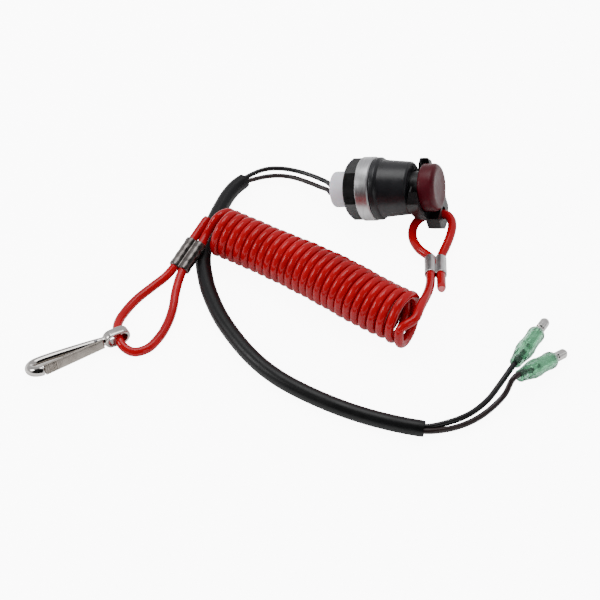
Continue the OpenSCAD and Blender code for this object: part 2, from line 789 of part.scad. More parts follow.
// Bullet terminal: crimp barrel, collar, body and rounded head
collar_x = 10;
crimp_x0 = 3;

module terminal(pose) {
    head_x = insulator_len + bullet_out;
    r = bullet_d / 2;
    neck_x = insulator_len + 1.2;
    on_terminal(pose) difference() {
        turned(concat(
            [
                [0, crimp_x0], [1.6, crimp_x0], [1.6, collar_x - 1], [1.2, collar_x - 0.6],
                [1.2, collar_x], [2.4, collar_x], [2.4, collar_x + 1], [r - 0.15, collar_x + 1],
                [r - 0.15, neck_x], [r - 0.45, neck_x + 0.3], [r - 0.45, neck_x + 0.8], [r, neck_x + 1.2]
            ],
            arc_pts([0.4, head_x - r + 0.4], r - 0.4, 0, 90, 6),
            [[0, head_x]]
        ));
        bore(wire_d + 0.1, crimp_x0 - cut, crimp_x0 + 3);
    }
}

module terminal_black() {
    color("#cfcdc8") terminal(black_terminal);
}

module terminal_brown() {
    color("#cfcdc8") terminal(brown_terminal);
}

// Soft insulator: small collar at the wire, wide shoulder, waist and front collar
module insulator(pose) {
    r = insulator_d / 2;
    l = insulator_len;
    wall = 0.7;
    on_terminal(pose) difference() {
        turned([
            [0, 0], [2.2, 0], [2.5, 0.6], [2.5, 1.6], [2.9, 4], [r - 0.2, 7], [r, 8],
            [r, 10.5], [3.25, 12], [3.1, 14], [3.2, l - 3.4], [3.5, l - 2.8], [3.5, l - 1], [3.1, l], [0, l]
        ]);
        bore(wire_d + 0.3, -cut, crimp_x0 + cut);
        bore(2 * (3.1 - wall), crimp_x0 - 0.2, collar_x + 1.2);
        bore(bullet_d + 0.1, collar_x + 1, l + cut);
    }
}

module insulator_black() {
    color("#7cc49a") insulator(black_terminal);
}

module insulator_brown() {
    color("#7cc49a") insulator(brown_terminal);
}

barrel();
mounting_nut();
panel_ring();
front_housing();
rear_plug();
contact_black();
contact_brown();
contact_disc();
plunger();
return_spring();
retaining_ring();
plunger_seal();
button_cap();
lanyard_clip();
wire_black();
wire_brown();
sleeve();
terminal_black();
terminal_brown();
insulator_black();
insulator_brown();
lanyard_coil();
lanyard_loop_hook();
lanyard_loop_clip();
ferrule_hook();
ferrule_clip();
hook_frame();
hook_gate();
gate_pin();
gate_spring();
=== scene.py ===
import math

import bmesh
import bpy
import numpy as np
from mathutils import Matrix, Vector


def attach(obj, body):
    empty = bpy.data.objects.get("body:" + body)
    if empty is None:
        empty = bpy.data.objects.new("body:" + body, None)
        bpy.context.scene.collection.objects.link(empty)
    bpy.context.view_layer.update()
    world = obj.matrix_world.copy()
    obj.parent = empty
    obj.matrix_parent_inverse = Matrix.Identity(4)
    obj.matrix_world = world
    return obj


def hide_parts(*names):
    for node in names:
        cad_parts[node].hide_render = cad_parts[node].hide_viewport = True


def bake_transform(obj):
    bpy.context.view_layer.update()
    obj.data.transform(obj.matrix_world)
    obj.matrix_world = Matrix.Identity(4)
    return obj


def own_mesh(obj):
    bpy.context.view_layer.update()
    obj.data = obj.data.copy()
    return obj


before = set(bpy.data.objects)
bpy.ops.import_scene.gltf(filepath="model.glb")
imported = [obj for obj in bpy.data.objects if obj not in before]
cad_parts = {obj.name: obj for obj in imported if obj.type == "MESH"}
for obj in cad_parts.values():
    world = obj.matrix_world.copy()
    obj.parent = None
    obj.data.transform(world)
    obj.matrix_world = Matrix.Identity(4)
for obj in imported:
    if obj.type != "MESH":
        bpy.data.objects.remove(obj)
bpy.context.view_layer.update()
mm = 0.001
print("frame loaded:", len(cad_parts), "nodes")


# small helpers

def toLinear(hexColour, alpha=1.0):
    # sRGB hex to linear light
    parts = [int(hexColour[k:k + 2], 16) / 255 for k in (1, 3, 5)]
    return tuple(c / 12.92 if c <= 0.04045 else ((c + 0.055) / 1.055) ** 2.4 for c in parts) + (alpha,)


def addNode(tree, kind, settings=None, links=None):
    # one node: settings go to its properties or its sockets, links join sockets to earlier outputs
    node = tree.nodes.new(kind)
    for key, value in (settings or {}).items():
        if isinstance(key, int) or key in node.inputs:
            node.inputs[key].default_value = value
        else:
            setattr(node, key, value)
    for key, output in (links or {}).items():
        tree.links.new(output, node.inputs[key])
    return node


def rampStops(node, stops):
    # colour stops of a ramp: (place, hex)
    ramp = node.color_ramp
    while len(ramp.elements) < len(stops):
        ramp.elements.new(0.5)
    for element, (place, colour) in zip(ramp.elements, stops):
        element.position = place
        element.color = toLinear(colour)


def newFinish(name, look):
    # a surface in three layers: slow colour change, roughness that follows handling, and a fine bump
    mat = bpy.data.materials.new(name)
    mat.use_nodes = True
    tree = mat.node_tree
    tree.nodes.clear()
    coords = addNode(tree, "ShaderNodeTexCoord")
    place = addNode(tree, "ShaderNodeMapping", {
        "Rotation": look.get("turn", (0, 0, 0)), "Scale": look.get("stretch", (1, 1, 1)),
    }, {"Vector": coords.outputs["UV" if look.get("onUv") else "Object"]})
    slow = addNode(tree, "ShaderNodeTexNoise", {
        "Scale": 1 / (look["patch"] * mm), "Detail": 4.0, "Roughness": 0.55,
    }, {"Vector": place.outputs["Vector"]})
    tint = addNode(tree, "ShaderNodeValToRGB", None, {"Fac": slow.outputs["Fac"]})
    rampStops(tint, look["colours"])
    rub = addNode(tree, "ShaderNodeTexNoise", {
        "Scale": 1 / (look.get("rubSize", look["patch"] * 0.6) * mm), "Detail": 5.0, "Roughness": 0.65,
    }, {"Vector": place.outputs["Vector"]})
    rough = addNode(tree, "ShaderNodeMapRange", {
        "From Min": 0.3, "From Max": 0.7, "To Min": look["rough"][0], "To Max": look["rough"][1],
    }, {"Value": rub.outputs["Fac"]})
    grain = addNode(tree, "ShaderNodeTexNoise", {
        "Scale": 1 / (look["grain"] * mm), "Detail": 3.0, "Roughness": 0.6,
    }, {"Vector": place.outputs["Vector"]})
    bump = addNode(tree, "ShaderNodeBump", {
        "Strength": look.get("bumpStrength", 0.15), "Distance": look["depth"] * mm,
    }, {"Height": grain.outputs["Fac"]})
    shader = addNode(tree, "ShaderNodeBsdfPrincipled", look.get("shader"), {
        "Base Color": tint.outputs["Color"], "Roughness": rough.outputs["Result"],
        "Normal": bump.outputs["Normal"],
    })
    addNode(tree, "ShaderNodeOutputMaterial", None, {"Surface": shader.outputs["BSDF"]})
    return mat


def gridSurface(name, points, mats, closeRows=False, caps=False, capMat=0, sharp=40, uvRun=None):
    # rows of points that each close on themselves; quads join row i to row i + 1, and caps close the two ends
    rows, columns = points.shape[:2]
    index = np.arange(rows * columns).reshape(rows, columns)
    after = np.roll(index, -1, axis=1)
    lower, upper = index[:-1], index[1:]
    lowerNext, upperNext = after[:-1], after[1:]
    if closeRows:
        lower, upper = index, np.roll(index, -1, axis=0)
        lowerNext, upperNext = after, np.roll(after, -1, axis=0)
    quads = np.stack([lower, lowerNext, upperNext, upper], axis=-1).reshape(-1, 4)
    faces = quads.tolist()
    if caps:
        faces += [index[0][::-1].tolist(), index[-1].tolist()]
    mesh = bpy.data.meshes.new(name)
    mesh.from_pydata(points.reshape(-1, 3).tolist(), [], faces)
    if uvRun is not None:
        # u runs along the piece in metres, v once round it
        layer = mesh.uv_layers.new(name="run")
        u = np.repeat(uvRun, columns)
        v = np.tile(np.arange(columns) / columns, rows)
        loops = np.empty(len(mesh.loops), dtype=np.int32)
        mesh.loops.foreach_get("vertex_index", loops)
        layer.data.foreach_set("uv", np.stack([u[loops], v[loops]], axis=1).ravel().astype(np.float32))
    for mat in mats:
        mesh.materials.append(mat)
    if caps:
        slots = np.zeros(len(faces), dtype=np.int32)
        slots[-2:] = capMat
        mesh.polygons.foreach_set("material_index", slots)
    return finishMesh(name, mesh, sharp)


def finishMesh(name, mesh, sharp):
    # doubles merged, normals outwards, smooth apart from edges sharper than the angle
    work = bmesh.new()
    work.from_mesh(mesh)
    bmesh.ops.remove_doubles(work, verts=work.verts, dist=2e-6)
    bmesh.ops.recalc_face_normals(work, faces=work.faces)
    work.to_mesh(mesh)
    work.free()
    mesh.polygons.foreach_set("use_smooth", np.ones(len(mesh.polygons), dtype=bool))
    mesh.set_sharp_from_angle(angle=math.radians(sharp))
    obj = bpy.data.objects.new(name, mesh)
    bpy.context.scene.collection.objects.link(obj)
    return obj


def joinPieces(name, pieces):
    # several closed surfaces in one piece
    work = bmesh.new()
    mats = []
    for piece in pieces:
        start = len(work.faces)
        work.from_mesh(piece.data)
        work.faces.ensure_lookup_table()
        for slot in piece.data.materials:
            if slot not in mats:
                mats.append(slot)
        for face in work.faces[start:]:
            face.material_index = mats.index(piece.data.materials[face.material_index])
    mesh = bpy.data.meshes.new(name)
    work.to_mesh(mesh)
    work.free()
    for mat in mats:
        mesh.materials.append(mat)
    for piece in pieces:
        bpy.data.objects.remove(piece, do_unlink=True)
    obj = bpy.data.objects.new(name, mesh)
    bpy.context.scene.collection.objects.link(obj)
    return obj


def smoothLine(points, step):
    # Hermite curve through the points, with the slope at each from its two neighbours, cut into equal steps
    p = np.array(points, dtype=float)
    t = np.concatenate([[0], np.cumsum(np.linalg.norm(np.diff(p, axis=0), axis=1))])
    slope = np.gradient(p, t, axis=0)
    fine = np.linspace(0, t[-1], max(8, int(t[-1] / step * 6)))
    k = np.clip(np.searchsorted(t, fine, side="right") - 1, 0, len(t) - 2)
    h = (t[k + 1] - t[k])[:, None]
    u = (fine - t[k])[:, None] / h
    line = ((2 * u ** 3 - 3 * u ** 2 + 1) * p[k] + (u ** 3 - 2 * u ** 2 + u) * h * slope[k]
            + (3 * u ** 2 - 2 * u ** 3) * p[k + 1] + (u ** 3 - u ** 2) * h * slope[k + 1])
    return evenSteps(line, step)


def evenSteps(line, step):
    # the same line cut into equal lengths
    run = np.concatenate([[0], np.cumsum(np.linalg.norm(np.diff(line, axis=0), axis=1))])
    count = max(2, int(round(run[-1] / step)))
    at = np.linspace(0, run[-1], count + 1)
    return np.stack([np.interp(at, run, line[:, axis]) for axis in range(line.shape[1])], axis=1)


def runOf(line):
    return np.concatenate([[0], np.cumsum(np.linalg.norm(np.diff(line, axis=0), axis=1))])


def carryFrames(line):
    # along = direction; side is carried from ring to ring with the least turn; up = along x side
    along = np.gradient(line, axis=0)
    along /= np.linalg.norm(along, axis=1)[:, None]
    side = np.zeros_like(line)
    first = np.cross([0, 0, 1.0], along[0])
    side[0] = first / np.linalg.norm(first)
    for i in range(1, len(line)):
        s = side[i - 1] - along[i] * side[i - 1].dot(along[i])
        side[i] = s / np.linalg.norm(s)
    return along, side, np.cross(along, side)


def tubeRings(line, radius, sides):
    # ring i: line(i) + r(i) (cos a side + sin a up)
    along, side, up = carryFrames(line)
    a = np.arange(sides) * 2 * np.pi / sides
    r = np.broadcast_to(np.asarray(radius, dtype=float), (len(line),))[:, None, None]
    return line[:, None, :] + r * (np.cos(a)[None, :, None] * side[:, None, :]
                                   + np.sin(a)[None, :, None] * up[:, None, :])


def softEnds(line, radius, lip):
    # the radius along a line with both cut ends slightly rounded
    run = runOf(line)
    near = np.clip(np.minimum(run, run[-1] - run) / lip, 0, 1)
    return radius * (0.8 + 0.2 * np.sqrt(1 - (1 - near) ** 2))


def roundCorners(profile):
    # (radius, station, corner rounding) rows to a fine outline: each rounded corner becomes an arc of 7 points
    p = np.array([row[:2] for row in profile], dtype=float)
    out = []
    for i, row in enumerate(profile):
        r = row[2] if len(row) > 2 else 0
        if r == 0:
            out.append(p[i])
            continue
        before, after = p[i - 1] - p[i], p[(i + 1) % len(p)] - p[i]
        before, after = before / np.linalg.norm(before), after / np.linalg.norm(after)
        half = math.acos(np.clip(before.dot(after), -1, 1)) / 2
        reach = r / math.tan(half)
        middle = (before + after) / np.linalg.norm(before + after) * r / math.sin(half)
        start, stop = before * reach - middle, after * reach - middle
        turn = np.linspace(0, 1, 7)[:, None]
        sweep = math.pi - 2 * half
        arc = (np.sin((1 - turn) * sweep) * start + np.sin(turn * sweep) * stop) / math.sin(sweep)
        out.extend(p[i] + middle + arc)
    return np.array(out)


def turnedPoints(profile, steps, dip=None):
    # outline point (r, x) swept about the X axis: (x, r cos a, r sin a); dip(a, x) lowers the radius
    outline = roundCorners(profile)
    a = np.arange(steps) * 2 * np.pi / steps
    r, x = outline[:, 0][:, None], outline[:, 1][:, None] + 0 * a[None, :]
    r = r + 0 * a[None, :]
    if dip is not None:
        r = r - dip(a[None, :], x, r)
    return np.stack([x, r * np.cos(a)[None, :], r * np.sin(a)[None, :]], axis=-1)


def poseOf(middle, heading, rise, tip=0):
    # columns of the matrix are the piece's own X, Y and Z in the frame
    h, e, t = (math.radians(v) for v in (heading, rise, tip))
    rx = np.array([[1, 0, 0], [0, math.cos(t), -math.sin(t)], [0, math.sin(t), math.cos(t)]])
    ry = np.array([[math.cos(e), 0, -math.sin(e)], [0, 1, 0], [math.sin(e), 0, math.cos(e)]])
    rz = np.array([[math.cos(h), -math.sin(h), 0], [math.sin(h), math.cos(h), 0], [0, 0, 1]])
    return np.array(middle, dtype=float), rz @ ry @ rx


def placed(points, pose):
    # pose: middle + matrix . point, millimetres to metres
    middle, turn = pose
    return (points @ turn.T + middle) * mm


def nodeCopy(name, node, mats, bevel, sharp=30):
    # a merged copy of a CAD solid, its flat faces made whole, with a live bevel
    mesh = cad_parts[node].data.copy()
    mesh.name = name
    mesh.materials.clear()
    for mat in mats:
        mesh.materials.append(mat)
    work = bmesh.new()
    work.from_mesh(mesh)
    bmesh.ops.remove_doubles(work, verts=work.verts, dist=1e-6)
    bmesh.ops.dissolve_limit(work, angle_limit=math.radians(1), verts=work.verts, edges=work.edges)
    for face in work.faces:
        face.material_index = 0
    work.to_mesh(mesh)
    work.free()
    mesh.polygons.foreach_set("use_smooth", np.ones(len(mesh.polygons), dtype=bool))
    mesh.set_sharp_from_angle(angle=math.radians(sharp))
    obj = bpy.data.objects.new(name, mesh)
    bpy.context.scene.collection.objects.link(obj)
    mod = obj.modifiers.new("edges", "BEVEL")
    mod.width = bevel * mm
    mod.segments = 3
    mod.limit_method = "ANGLE"
    mod.angle_limit = math.radians(30)
    mod.use_clamp_overlap = True
    even = obj.modifiers.new("even shading", "WEIGHTED_NORMAL")
    even.keep_sharp = True
    return obj


# camera and light

view = {"place": (129.8, -588.8, 551.5), "target": (-22.2, -58.6, 0), "lens": 115.1}
cameraData = bpy.data.cameras.new("camera")
cameraData.lens = view["lens"]
cameraData.sensor_width = 36
camera = bpy.data.objects.new("camera", cameraData)
camera.location = Vector(view["place"]) * mm
camera.rotation_euler = (Vector(view["target"]) - Vector(view["place"])).to_track_quat("-Z", "Y").to_euler()
bpy.context.scene.collection.objects.link(camera)
bpy.context.scene.camera = camera

lamps = {
    # name: (place mm, aimed at mm, size mm, watts)
    "overhead": ((-120, 120, 620), (-20, -50, 0), 420, 1.9),
    "left": ((-620, -260, 380), (-20, -50, 0), 260, 1.5),
    "right": ((520, -420, 300), (-20, -50, 0), 260, 0.35),
}
for name, (place, target, size, watts) in lamps.items():
    lampData = bpy.data.lights.new(name, "AREA")
    lampData.shape = "SQUARE"
    lampData.size = size * mm
    lampData.energy = watts
    lamp = bpy.data.objects.new(name, lampData)
    lamp.location = Vector(place) * mm
    lamp.rotation_euler = (Vector(target) - Vector(place)).to_track_quat("-Z", "Y").to_euler()
    bpy.context.scene.collection.objects.link(lamp)

world = bpy.data.worlds.new("studio")
world.use_nodes = True
bpy.context.scene.world = world
tree = world.node_tree
tree.nodes.clear()
coords = addNode(tree, "ShaderNodeTexCoord")
towards = addNode(tree, "ShaderNodeVectorMath", {"operation": "DOT_PRODUCT", 1: (0.18, -0.7, 0.69)},
                  {0: coords.outputs["Generated"]})
sky = addNode(tree, "ShaderNodeValToRGB", None, {"Fac": towards.outputs["Value"]})
# the unlit side of the room, behind the viewer, gives bright metal its black bands
rampStops(sky, [(0.0, "#d0d0d2"), (0.33, "#c4c4c6"), (0.51, "#77777a"), (0.62, "#0e0e0f"), (1.0, "#060607")])
rays = addNode(tree, "ShaderNodeLightPath")
seen = addNode(tree, "ShaderNodeMix", {"data_type": "RGBA", 6: toLinear("#ffffff")}, {
    0: rays.outputs["Is Glossy Ray"], 7: sky.outputs["Color"],
})
backdrop = addNode(tree, "ShaderNodeBackground", {"Strength": 1.0}, {"Color": seen.outputs[2]})
addNode(tree, "ShaderNodeOutputWorld", None, {"Surface": backdrop.outputs["Background"]})
print("camera and lights ready")


# materials of the cords: plasticised PVC, extruded: glossy, with a faint fine bump

redPvc = newFinish("plasticised PVC cord, extruded red", {
    "patch": 9, "colours": [(0.3, "#96000a"), (0.7, "#aa000f")], "rough": (0.1, 0.17),
    "grain": 3, "depth": 0.012,
    "shader": {"IOR": 1.53, "Specular IOR Level": 0.3},
})
redCut = newFinish("PVC cord, knife-cut end", {
    "patch": 1.2, "colours": [(0.3, "#d4595f"), (0.7, "#e88c8f")], "rough": (0.45, 0.6),
    "grain": 0.3, "depth": 0.05, "shader": {"IOR": 1.53},
})
blackPvc = newFinish("PVC wire insulation, extruded black", {
    "patch": 7, "colours": [(0.3, "#060607"), (0.7, "#0c0c0e")], "rough": (0.24, 0.36),
    "grain": 0.4, "depth": 0.01, "shader": {"IOR": 1.53},
})
brownPvc = newFinish("PVC wire insulation, extruded brown", {
    "patch": 7, "colours": [(0.3, "#170b0b"), (0.7, "#241212")], "rough": (0.28, 0.44),
    "grain": 0.4, "depth": 0.01, "shader": {"IOR": 1.53},
})
sleevePvc = newFinish("PVC sleeving, extruded matt black", {
    "patch": 12, "colours": [(0.3, "#070708"), (0.7, "#0e0e10")], "rough": (0.32, 0.46),
    "grain": 0.7, "depth": 0.03, "shader": {"IOR": 1.53, "Specular IOR Level": 0.3},
})


# the lanyard: one cord from the clip's tail, through both loops and the coil, to the hook's tail

lanyard = {
    "diameter": 3.72, "strandPitch": 4.3, "tail": 12, "ferruleLength": 14,
    "hookFerrule": ([-71.7, -53.3, 7.2], 74, 17),
    "clipFerrule": ([27.8, -32.2, 7.6], -77, 16),
    # the coil's middle line, with the radius of the strand's own middle as the fourth number
    "coilAxis": [
        [-62.1, -38.8, 10.5, 8.6], [-48, -42.6, 10.44, 8.58], [-36.8, -45.9, 10.43, 8.62], [-26, -49.4, 10.8, 8.95],
        [-16, -53, 11.14, 9.28], [-5, -57.3, 11.4, 9.55], [4.2, -61.2, 11.45, 9.6], [15, -65.2, 11.4, 9.4],
        [25.2, -68.4, 11.75, 9.3],
    ],
    "turns": 24.78, "firstAngle": 20, "lastPitch": 0.6, "lean": 1.6, "swell": 0.9,
    "hookLoop": [
        [-77.5, -63.4, 3.6], [-81.4, -70, 2.4], [-85.3, -77.8, 1.8], [-87.6, -86.5, 1.8],
        [-88, -92.5, 2.2], [-86.8, -97.6, 3], [-84.6, -102, 3.4], [-81.4, -105.4, 2.6],
        [-77, -106.4, 1.8], [-72.6, -103.6, 1.8], [-69.9, -96.8, 1.8], [-69, -88.3, 1.8],
        [-69.6, -79.5, 2], [-71.2, -70.5, 3.2],
    ],
    "toCoil": [[-67, -43, 10.6], [-65.6, -39.8, 13.2], [-63.5, -37.6, 16.6]],
    "clipLoop": [
        [28.9, -16.5, 6], [29.2, -11, 6.6], [28.8, -6, 6.9], [27.5, -2, 6.8], [25.2, 0.4, 6.9],
        [21.3, 0.8, 6.3], [17.6, 0.3, 5.3], [14.9, -1.9, 4.8], [13.3, -5.4, 4.8], [13, -10.3, 4.8],
        [14.3, -15.4, 4.8], [18.2, -20.9, 4.9],
    ],
    "fromCoil": [[28.4, -44.5, 11], [29.2, -50.3, 13], [29.5, -56, 15], [29.4, -62.2, 17], [29.1, -68, 18], [28.7, -73.2, 17.8]],
}


def ferrulePoint(pose, along, side):
    # along the ferrule towards the coil, and to its left side
    middle, turn = poseOf(*pose)
    return (middle + turn @ np.array([along, side, 0])).tolist()


def coilLine(c):
    # middle line(u) + R(u) (cos a up + sin a far), a growing with u; the last turns lean and swell towards the near side
    axis = smoothLine(c["coilAxis"], 0.5)
    count = int(c["turns"] * 40)
    u = np.linspace(0, 1, count)
    at = u * (len(axis) - 1)
    axis = np.stack([np.interp(at, np.arange(len(axis)), axis[:, k]) for k in range(4)], axis=1)
    along = np.gradient(axis[:, :3], axis=0)
    along /= np.linalg.norm(along, axis=1)[:, None]
    far = np.cross([0, 0, 1.0], along)
    far /= np.linalg.norm(far, axis=1)[:, None]
    up = np.cross(along, far)
    turn = c["turns"] * u
    a = math.radians(c["firstAngle"]) + 2 * np.pi * turn
    late = np.clip(turn - c["turns"] + 0.75, 0, 0.75) / 0.75
    loose = np.clip((turn - c["turns"] + 2.4) / 2.4, 0, 1)
    onward = c["lastPitch"] * late ** 2 + c["lean"] * loose * (0.5 - 0.5 * np.sin(a))
    r = (axis[:, 3] + 0.1 * np.sin(2 * np.pi * 7.3 * u) * np.sin(np.pi * u)
         + c["swell"] * loose * (0.5 + 0.5 * np.cos(a - math.radians(240))))[:, None]
    return (axis[:, :3] + along * onward[:, None]
            + r * (np.cos(a)[:, None] * up + np.sin(a)[:, None] * far))


half = lanyard["strandPitch"] / 2
out = lanyard["ferruleLength"] / 2
clipEnd = ([ferrulePoint(lanyard["clipFerrule"], out + lanyard["tail"], half),
            ferrulePoint(lanyard["clipFerrule"], out + 1, half),
            ferrulePoint(lanyard["clipFerrule"], -out - 1, half)] + lanyard["clipLoop"]
           + [ferrulePoint(lanyard["clipFerrule"], -out - 1, -half),
              ferrulePoint(lanyard["clipFerrule"], out + 1, -half)] + lanyard["fromCoil"])
hookEnd = ([ferrulePoint(lanyard["hookFerrule"], out + lanyard["tail"], half),
            ferrulePoint(lanyard["hookFerrule"], out + 1, half),
            ferrulePoint(lanyard["hookFerrule"], -out - 1, half)] + lanyard["hookLoop"]
           + [ferrulePoint(lanyard["hookFerrule"], -out - 1, -half),
              ferrulePoint(lanyard["hookFerrule"], out + 1, -half)] + lanyard["toCoil"])
coil = coilLine(lanyard)[::-1]
cordLine = smoothLine(clipEnd + coil[1::5].tolist() + hookEnd[::-1], 1.6) * mm
cordRadius = softEnds(cordLine, lanyard["diameter"] / 2 * mm, 0.5 * mm)
lanyardCord = gridSurface("lanyardCord", tubeRings(cordLine, cordRadius, 20), [redPvc, redCut],
                          caps=True, capMat=1, sharp=50, uvRun=runOf(cordLine))
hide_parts("lanyard_coil", "lanyard_loop_hook", "lanyard_loop_clip")
print("lanyard cord length", round(runOf(cordLine)[-1], 4))


# the wires and their sleeve

switchPose = poseOf([-10.675161, 0, 13.067066], 0, 15.309437)
wiring = {
    "wireDiameter": 2, "sleeveDiameter": 6.5, "sleeveWall": 0.7, "spread": 2.2, "plugX": -13.4,
    "wirePitch": 3.8, "cupX": -9.2, "sleeveZ": 3.3,
    "sleeve": [
        [-64.5, 1.5], [-66.8, -3.5], [-68.2, -9.5], [-68.8, -16], [-69.1, -22.5], [-69.1, -29],
        [-68.8, -35.5], [-68.1, -42], [-66.8, -48], [-65, -53.5], [-62.6, -58.8], [-60, -64],
        [-57, -69], [-53.6, -74], [-50, -78.8], [-46, -83.4], [-41.5, -88], [-36.7, -92.5],
        [-31.5, -96.8], [-24.2, -101.8], [-16.5, -105.8], [-8, -109], [1, -111.6], [9.5, -113.5],
        [18, -114.8], [27, -115.5], [35, -115.6], [43, -115.2],
    ],
    "blackNear": [
        [-26.5, 2.6, 9.4], [-32, 5.6, 8.9], [-38, 8, 8], [-44.5, 9.6, 7.2], [-50.5, 10, 6.5],
        [-57, 8.8, 5.5], [-62.4, 5.2, 4.2],
    ],
    "brownNear": [
        [-26, -0.6, 8.6], [-31, 2, 7.6], [-37, 5.2, 6], [-43, 7.6, 4.8], [-49, 8.6, 3.8],
        [-55, 7.4, 3.2], [-60, 4.2, 3.2],
    ],
    "blackFar": [[50.4, -109.8, 3.2], [57.6, -103, 3], [62.5, -94.6, 2.8], [66, -84, 3.2]],
    "brownFar": [[51.2, -112.4, 2.6], [59.2, -105.6, 2.2], [65.2, -97.4, 2.8], [69.2, -90, 5.2]],
    "blackTerminal": ([69.2, -72.9, 3.8], 74.5, 0),
    "brownTerminal": ([72.6, -83, 7.9], 58, -12),
}
sleeveRoute = np.array([[x, y, wiring["sleeveZ"]] for x, y in wiring["sleeve"]])


def besideRoute(route, offset):
    # route + offset (cos a side + sin a up), half a turn from end to end
    along = np.gradient(route, axis=0)
    along /= np.linalg.norm(along, axis=1)[:, None]
    side = np.cross([0, 0, 1.0], along)
    side /= np.linalg.norm(side, axis=1)[:, None]
    a = np.pi * np.linspace(0, 1, len(route))[:, None]
    return route + offset * (np.cos(a) * side + np.sin(a) * np.cross(along, side))


def wireLine(side, near, offset, far, terminal):
    # plug, free run, sleeve, free run, terminal
    start = [(switchPose[0] + switchPose[1] @ np.array([x, side * wiring["wirePitch"] / 2, 0])).tolist()
             for x in (wiring["cupX"], wiring["plugX"] - 2)]
    middle, turn = poseOf(*terminal)
    stop = [(middle + turn @ np.array([x, 0, 0])).tolist() for x in (-4, 8.3)]
    return smoothLine(start + near + besideRoute(sleeveRoute, offset).tolist() + far + stop, 1.5) * mm


blackLine = wireLine(1, wiring["blackNear"], -wiring["spread"] / 2, wiring["blackFar"], wiring["blackTerminal"])
brownLine = wireLine(-1, wiring["brownNear"], wiring["spread"] / 2, wiring["brownFar"], wiring["brownTerminal"])


def wireRadius(line):
    # the insulation is a little thicker from the sleeve to the terminal
    far = np.clip(runOf(line) / runOf(line)[-1] * 4 - 2, 0, 1)
    return (wiring["wireDiameter"] / 2 + 0.18 * far) * mm


wireBlack = gridSurface("wireBlack", tubeRings(blackLine, wireRadius(blackLine), 16), [blackPvc], caps=True,
                        uvRun=runOf(blackLine))
wireBrown = gridSurface("wireBrown", tubeRings(brownLine, wireRadius(brownLine), 16), [brownPvc], caps=True,
                        uvRun=runOf(brownLine))

# the sleeve: the outer skin forwards and the bore back, closed into a loop of rings
sleeveLine = smoothLine(sleeveRoute, 1.5) * mm
lip = np.array([0.3, 0.08, 0, 0]) * mm
outerR = np.full(len(sleeveLine), wiring["sleeveDiameter"] / 2 * mm)
outerR[:1] -= lip[0] / 2
outerR[-1:] -= lip[0] / 2
innerR = np.full(len(sleeveLine), (wiring["sleeveDiameter"] / 2 - wiring["sleeveWall"]) * mm)
sleevePoints = np.concatenate([tubeRings(sleeveLine, outerR, 32), tubeRings(sleeveLine, innerR, 32)[::-1]])
sleeve = gridSurface("sleeveTube", sleevePoints, [sleevePvc], closeRows=True,
                     uvRun=np.concatenate([runOf(sleeveLine), runOf(sleeveLine)[::-1]]))
for piece, node, slot in ((wireBlack, "wire_black", "wire_black_pvc"), (wireBrown, "wire_brown", "wire_brown_pvc"),
                          (sleeve, "sleeve", "sleeve_pvc")):
    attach(piece, "switch")
    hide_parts(node)
print("wires and sleeve:", round(runOf(blackLine)[-1], 4), round(runOf(brownLine)[-1], 4), round(runOf(sleeveLine)[-1], 4))


# ferrules: aluminium tube pressed over two strands, a figure of eight with crimp dents

darkNickel = newFinish("aluminium ferrule, dulled and crimped", {
    "patch": 3.5, "colours": [(0.25, "#55504e"), (0.75, "#8d8784")], "rough": (0.2, 0.42),
    "grain": 1.5, "depth": 0.03, "shader": {"Metallic": 1.0},
})
brightAluminium = newFinish("aluminium ferrule, bright drawn", {
    "patch": 4, "colours": [(0.25, "#d4d3d2"), (0.75, "#f0efee")], "rough": (0.28, 0.4),
    "grain": 2, "depth": 0.01, "shader": {"Metallic": 1.0},
})


def ferruleRings(f):
    # section at angle a: the reach of two circles side by side, bridged over their waist;
    # along x the section shrinks at the crimps and rolls in at both ends
    a = np.arange(64) * 2 * np.pi / 64
    offset = f["pitch"] / 2

    def section(circle, bridge):
        inside = np.maximum(circle ** 2 - (offset * np.sin(a)) ** 2, 0)
        reach = np.abs(offset * np.cos(a)) + np.sqrt(inside)
        return np.minimum(np.maximum(reach, bridge / np.maximum(np.abs(np.sin(a)), 0.2)), offset + circle)

    x = np.linspace(-f["length"] / 2, f["length"] / 2, 57)
    edge = np.clip((f["length"] / 2 - np.abs(x)) / 0.5, 0, 1)
    crimp = sum(np.exp(-((x - place) / f["crimpWidth"]) ** 2) for place in f["crimps"])
    size = 1 - 0.05 * (1 - np.sqrt(1 - (1 - edge) ** 2)) - f["crimpDepth"] * crimp
    outer = section(f["circle"], f["bridge"])[None, :] * size[:, None]
    inner = section(f["bore"], 0.9)[None, :] * np.ones((len(x), 1))
    r = np.concatenate([outer, inner[::-1]])
    xx = np.concatenate([x, x[::-1]])[:, None] + 0 * a[None, :]
    return np.stack([xx, r * np.cos(a)[None, :], r * np.sin(a)[None, :]], axis=-1)


ferruleShape = {"length": 14, "pitch": 4.3, "circle": 2.4, "bore": 1.9, "bridge": 1.5,
                "crimps": (-3.6, 0.2, 3.8), "crimpWidth": 1.1, "crimpDepth": 0.035}
ferruleHook = gridSurface("ferruleHook", placed(ferruleRings(ferruleShape), poseOf(*lanyard["hookFerrule"])),
                          [darkNickel], closeRows=True, sharp=60)
plainFerrule = dict(ferruleShape, crimps=(0,), crimpWidth=4, crimpDepth=0.012, bridge=1.2)
ferruleClip = gridSurface("ferruleClip", placed(ferruleRings(plainFerrule), poseOf(*lanyard["clipFerrule"])),
                          [brightAluminium], closeRows=True, sharp=60)
for piece, node, slot in ((ferruleHook, "ferrule_hook", "ferrule_dark"), (ferruleClip, "ferrule_clip", "ferrule_bright")):
    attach(piece, "switch")
    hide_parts(node)
print("ferrules made")


# snap hook: die-cast frame and pressed gate, nickel plated and polished

